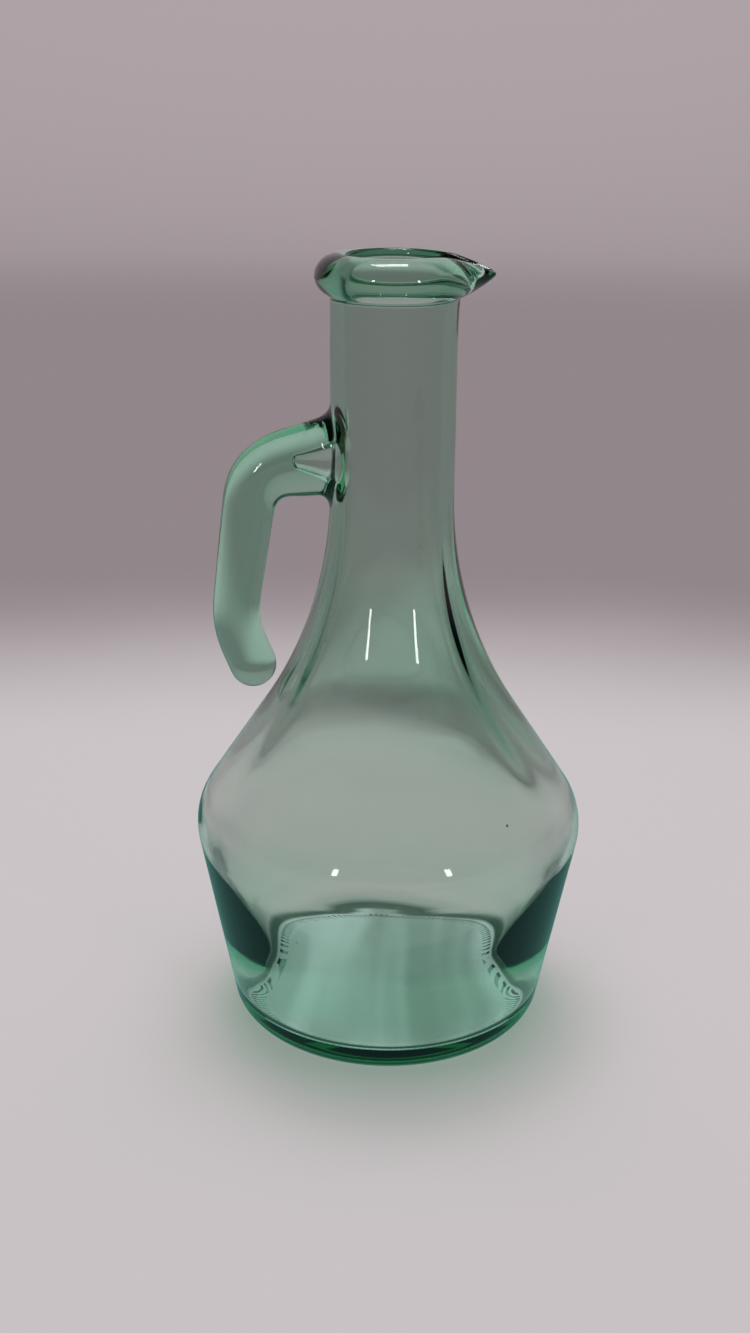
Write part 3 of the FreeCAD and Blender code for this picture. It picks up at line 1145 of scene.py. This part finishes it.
@dataclass
class AirPocket:
    """The air that the bore pushes into the root of the arm: a flattened blunt cone."""

    height: float = 127.4
    mouth_half: float = 4.2
    tip_half: float = 1.5
    flatness: float = 0.75
    first: float = 11.5  # from the axis to the mouth's section
    last: float = 19.4  # and to the tip's
    mouth_flare: float = 0.4
    rim: float = 1.5
    steps: int = 12
    fillet_steps: int = 7
    end_steps: int = 8

    def limb(self) -> Limb:
        """Shapes the pocket.

        Returns:
            The pocket as a limb of the inner face.
        """
        sections = []
        for share in spread(0.0, 1.0, self.steps):
            half = mix(self.mouth_half, self.tip_half, share)
            centre = Vector((-mix(self.first, self.last, share), 0.0, self.height))
            sections.append(Section(centre, 180.0, half, half * self.flatness))
        mouth = self.mouth_half + self.mouth_flare
        half_arc = mouth * self.flatness + self.rim
        half_height = mouth + self.rim
        limb = Limb(
            Side.INNER, self.height, half_height, half_arc, sections, self.fillet_steps
        )
        limb.close_end(self.end_steps)
        return limb


@dataclass(frozen=True)
class AirSeed:
    """A tiny bubble that was blown into the glass."""

    angle: float  # in degrees round the axis from the lip
    height: float
    radius: float


@dataclass
class Cruet:
    """The whole cruet as one skin of glass, with its handle, air pocket and air seeds."""

    wall: BottleWall
    handle: HandleShape = field(default_factory=HandleShape)
    pocket: AirPocket = field(default_factory=AirPocket)
    seeds: tuple[AirSeed, ...] = (
        AirSeed(-49.0, 57.0, 0.30),
        AirSeed(-118.0, 33.0, 0.18),
        AirSeed(-74.0, 78.0, 0.16),
        AirSeed(-141.0, 91.0, 0.20),
        AirSeed(-63.0, 112.0, 0.15),
        AirSeed(28.0, 66.0, 0.22),
        AirSeed(96.0, 52.0, 0.17),
        AirSeed(143.0, 84.0, 0.19),
    )
    segments: int = 208
    crowding: float = 0.35  # segments are this much closer together at the lip
    yield_reach: float = 2.1  # how far round a root the wall's grid gives way, over the root's size

    def angles(self) -> list[float]:
        """The angles of the segments, from the lip round by the handle."""
        return [turn - self.crowding * math.sin(turn) for turn in turns_round(self.segments)]

    def build(self) -> bpy.types.Object:
        """Lays the whole skin.

        Returns:
            The finished piece.
        """
        draft = MeshDraft()
        rows = self.wall.outer_rows() + self.wall.inner_rows()
        limbs = [self.handle.limb(), self.pocket.limb()]
        windows = [Window(self, rows, limb) for limb in limbs]
        angles = self.angles()
        grid: list[list[int]] = []
        for row in rows:
            grid.append([self.lay_point(draft, windows, row, angle) for angle in angles])
        for number in range(len(rows) - 1):
            for column in range(self.segments):
                if any(window.holds(number, column) for window in windows):
                    continue
                after = (column + 1) % self.segments
                below, above = grid[number], grid[number + 1]
                draft.faces.append((below[column], below[after], above[after], above[column]))
        draft.fan(grid[0], draft.add(Vector((0.0, 0.0, self.wall.recess_depth))))
        top = self.wall.floor_edge + self.wall.floor_crown
        draft.fan(grid[-1], draft.add(Vector((0.0, 0.0, top))))
        for window in windows:
            window.close(draft, grid)
        draft.air_from = len(draft.faces)
        for seed in self.seeds:
            middle = self.wall.outer_radius(seed.height) - 0.5 * self.wall.thickness(seed.height)
            place = round_point(middle, math.radians(seed.angle), seed.height)
            draft.ball(place, seed.radius)
        return draft.make("glass_cruet")

    def lay_point(
        self,
        draft: MeshDraft,
        windows: "Sequence[Window]",
        row: Row,
        angle: float,
    ) -> int:
        """Lays one point of the grid, or none inside a window.

        Args:
            draft: the mesh so far.
            windows: the windows that limbs take out of the grid.
            row: the point's row.
            angle: its angle round the axis, in radians.

        Returns:
            The point's number, or -1 inside a window.
        """
        for window in windows:
            share = window.share(row, angle)
            if share is None:
                continue
            if window.inside(share):
                return -1
            return draft.add(window.place(row, *window.give_way(*share)))
        return draft.add(self.wall.place(row, angle))


class Window:
    """The oval window that a limb's root takes out of the wall's grid."""

    LOWEST = 60.0  # millimetres, below which no row is moved
    RIM_ROUNDING = 1e-6  # how exactly a point has to lie on the rim to count as there
    STEP_IN = 0.97  # how far in from the rim the wall's direction is read

    def __init__(self, cruet: Cruet, rows: Sequence[Row], limb: Limb) -> None:
        """Finds the rows and columns of the grid that the root takes.

        Args:
            cruet: the cruet, for its wall and its grid.
            rows: the rows of the grid.
            limb: the limb that grows out of the window.
        """
        self.cruet = cruet
        self.limb = limb
        self.rows = rows
        self.angles = cruet.angles()
        self.middle = cruet.segments // 2
        ours = [
            number
            for number, row in enumerate(rows)
            if row.side is limb.side and row.height > self.LOWEST
        ]
        ends = [limb.height - limb.root_half_height, limb.height + limb.root_half_height]
        picks = [min(ours, key=lambda n, end=end: abs(rows[n].height - end)) for end in ends]
        self.low, self.high = min(picks), max(picks)
        self.down = limb.height - rows[picks[0]].height
        self.up = rows[picks[1]].height - limb.height
        wall = cruet.wall.radius(limb.side, limb.height)
        counts = range(2, self.middle // 2)
        self.half_columns = min(
            counts,
            key=lambda n: abs((math.pi - self.angles[self.middle - n]) * wall - limb.root_half_arc),
        )
        self.half_angle = math.pi - self.angles[self.middle - self.half_columns]

    def share(self, row: Row, angle: float) -> Span | None:
        """Where a grid point lies over the root's size.

        Args:
            row: the point's row.
            angle: its angle round the axis, in radians.

        Returns:
            The shares round and up, or None if the root doesn't move the point.
        """
        if row.side is not self.limb.side or row.height < self.LOWEST:
            return None
        up = row.height - self.limb.height
        v = up / (self.up if up > 0.0 else self.down)
        u = (angle - math.pi) / self.half_angle
        if max(abs(u), abs(v)) >= self.cruet.yield_reach:
            return None
        return u, v

    def inside(self, share: Span) -> bool:
        """Whether a point lies inside the window."""
        return max(abs(share[0]), abs(share[1])) < 1.0 - self.RIM_ROUNDING

    def give_way(self, u: float, v: float) -> Span:
        """Moves the grid so that the window's square rim becomes an oval.

        Args:
            u: the share round.
            v: the share up.

        Returns:
            Both shares where the point goes.
        """
        square = max(abs(u), abs(v))
        rounding = square / math.hypot(u, v)
        scale = mix(rounding, 1.0, ease((square - 1.0) / (self.cruet.yield_reach - 1.0)))
        return u * scale, v * scale

    def place(self, row: Row, u: float, v: float) -> Vector:
        """The point of the wall at these shares of the root's size."""
        height = self.limb.height + v * (self.up if v > 0.0 else self.down)
        return self.cruet.wall.place(row, math.pi + u * self.half_angle, height)

    def holds(self, number: int, column: int) -> bool:
        """Whether the face after a row and a column lies in the window.

        Args:
            number: the row's number.
            column: the column's.

        Returns:
            True if the window takes it out.
        """
        return (
            self.low <= number < self.high
            and self.middle - self.half_columns <= column < self.middle + self.half_columns
        )

    def rim(self) -> list[tuple[int, int]]:
        """Walks round the rim.

        Returns:
            The row and column of each of its points, in order.
        """
        left, right = self.middle - self.half_columns, self.middle + self.half_columns
        cells = [(self.low, column) for column in range(left, right)]
        cells += [(number, right) for number in range(self.low, self.high)]
        cells += [(self.high, column) for column in range(right, left, -1)]
        cells += [(number, left) for number in range(self.high, self.low, -1)]
        return cells

    def close(self, draft: MeshDraft, grid: Sequence[Sequence[int]]) -> None:
        """Grows the limb out of the window.

        Args:
            draft: the mesh so far.
            grid: the numbers of the grid's points, by row and column.
        """
        rim, turns, inward = [], [], []
        for number, column in self.rim():
            row = self.rows[number]
            u, v = self.give_way(*self.share(row, self.angles[column]))
            point = grid[number][column]
            nearer = self.place(row, u * self.STEP_IN, v * self.STEP_IN)
            rim.append(point)
            turns.append(math.atan2(u, v))
            inward.append((nearer - draft.points[point]).normalized())
        self.limb.grow(draft, rim, turns, inward)


# ---- the studio -------------------------------------------------------------------------------


@dataclass(frozen=True)
class Lamp:
    """One soft lamp that faces the cruet. Its glow isn't seen straight through the glass."""

    name: str
    place: Place
    size: Span  # width and height
    power: float  # watts
    glint: bool = True  # whether the glass mirrors it

    def hang(self, target: Place) -> None:
        """Hangs the lamp.

        Args:
            target: the place that it faces.
        """
        light = bpy.data.lights.new(self.name, "AREA")
        light.shape = "RECTANGLE"
        light.size, light.size_y = self.size
        light.energy = self.power
        lamp = bpy.data.objects.new(self.name, light)
        bpy.context.scene.collection.objects.link(lamp)
        lamp.visible_glossy = self.glint
        lamp.visible_transmission = False
        lamp.location = self.place
        towards = Vector(target) - Vector(self.place)
        lamp.rotation_euler = towards.to_track_quat("-Z", "Y").to_euler()


@dataclass
class Studio:
    """A pale table that sweeps up into a round backdrop, its lamps and the camera, in metres."""

    floor_reach: float = 1.6
    first_ring: float = 0.05  # the smallest ring of the table's mesh
    ring_gap: float = 0.15  # between that and the next ones
    rings: int = 10
    sides: int = 72
    sweep: float = 0.5
    sweep_steps: int = 10
    wall_height: float = 2.4
    paper: StudioPaper = field(default_factory=StudioPaper)
    lamps: tuple[Lamp, ...] = (
        Lamp("overhead_softbox", (0.0, 0.15, 1.5), (1.3, 1.3), 21.6, glint=False),
        Lamp("rim_panel", (-0.05, 0.30, 1.2), (0.40, 0.30), 3.5),
        Lamp("right_panel", (0.60, -0.85, 0.38), (0.06, 0.22), 0.65),
        Lamp("left_panel", (-0.55, -0.95, 0.40), (0.06, 0.22), 0.65),
    )
    lamp_target: Place = (0.0, 0.0, 0.08)
    room: Colour = (0.12, 0.115, 0.117)  # the dim light beyond the stage
    camera_place: Place = (0.0, -0.33966, 0.20437)
    camera_tilt: float = 19.852  # degrees down
    camera_pan: float = -0.5496  # degrees to the right
    camera_roll: float = 0.523  # degrees
    lens_length: float = 29.71  # millimetres
    sensor_height: float = 24.0
    near_clip: float = 0.01
    bounces: int = 32  # how often light is followed through the glass

    def build_backdrop(self) -> bpy.types.Object:
        """Makes the table and the backdrop as one sheet.

        Returns:
            The sheet, with the paper's material.
        """
        profile = [(self.first_ring + self.ring_gap * number, 0.0) for number in range(self.rings)]
        profile.append((self.floor_reach, 0.0))
        for angle in spread(0.0, 90.0, self.sweep_steps)[1:]:
            turn = math.radians(angle)
            rise = self.sweep * (1.0 - math.cos(turn))
            profile.append((self.floor_reach + self.sweep * math.sin(turn), rise))
        profile.append((self.floor_reach + self.sweep, self.wall_height))
        draft = MeshDraft()
        rings = []
        turns = turns_round(self.sides)
        for radius, height in profile:
            places = [round_point(radius, turn, height) / MILLIMETRE for turn in turns]
            rings.append(draft.ring(places))
        draft.tube(rings)
        draft.fan(rings[0], draft.add(Vector((0.0, 0.0, 0.0))))
        sheet = draft.make("table_and_backdrop")
        sheet.data.materials.append(self.paper.make())
        return sheet

    def light(self) -> None:
        """Hangs the lamps and sets the dim room beyond them."""
        for lamp in self.lamps:
            lamp.hang(self.lamp_target)
            LOG.info("%s: %.2f W", lamp.name, lamp.power)
        world = bpy.data.worlds.new("dim_room")
        world.use_nodes = True
        graph = Graph(world.node_tree)
        sockets = {"Color": (*self.room, 1.0), "Strength": 1.0}
        glow = graph.node("ShaderNodeBackground", None, sockets)
        graph.make("ShaderNodeOutputWorld", None, {"Surface": glow})
        bpy.context.scene.world = world

    def aim_camera(self) -> None:
        """Sets the camera in front of the cruet, a little above it and looking down."""
        angles = (self.camera_tilt, self.camera_pan, self.camera_roll)
        tilt, pan, roll = (math.radians(angle) for angle in angles)
        forward = Vector(
            (math.sin(pan) * math.cos(tilt), math.cos(pan) * math.cos(tilt), -math.sin(tilt))
        )
        level = Vector((math.cos(pan), -math.sin(pan), 0.0))
        upright = level.cross(forward)
        right = level * math.cos(roll) + upright * math.sin(roll)
        up = upright * math.cos(roll) - level * math.sin(roll)
        lens = bpy.data.cameras.new("studio_camera")
        lens.sensor_fit = "VERTICAL"
        lens.sensor_height = self.sensor_height
        lens.lens = self.lens_length
        lens.clip_start = self.near_clip
        camera = bpy.data.objects.new("studio_camera", lens)
        bpy.context.scene.collection.objects.link(camera)
        turn = Matrix((right, up, -forward)).transposed().to_4x4()
        camera.matrix_world = Matrix.Translation(self.camera_place) @ turn
        bpy.context.scene.camera = camera

    def settle(self) -> None:
        """Sets how light is followed through the glass, and the plain view of colours."""
        scene = bpy.context.scene
        scene.cycles.max_bounces = self.bounces
        scene.cycles.transmission_bounces = self.bounces
        scene.view_settings.view_transform = "Standard"


def main() -> None:
    """Builds the cruet and its studio."""
    logging.basicConfig(level=logging.INFO, format="%(name)s: %(message)s")
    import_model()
    studio = Studio()
    studio.settle()
    studio.aim_camera()
    studio.light()
    backdrop = studio.build_backdrop()
    LOG.info("%s: %d faces", backdrop.name, len(backdrop.data.polygons))
    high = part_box(NODE)[1]
    wall = BottleWall(high.z / MILLIMETRE, high.y / MILLIMETRE - BOX_INSET)
    cruet = Cruet(wall).build()
    cruet.data.materials.append(BottleGlass().make())
    cruet.visible_diffuse = False  # less of its green glow on the table, though some remains
    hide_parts(NODE)
    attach(cruet, BODY)
    LOG.info("%s: %d faces", cruet.name, len(cruet.data.polygons))


if __name__ == "__main__":
    main()
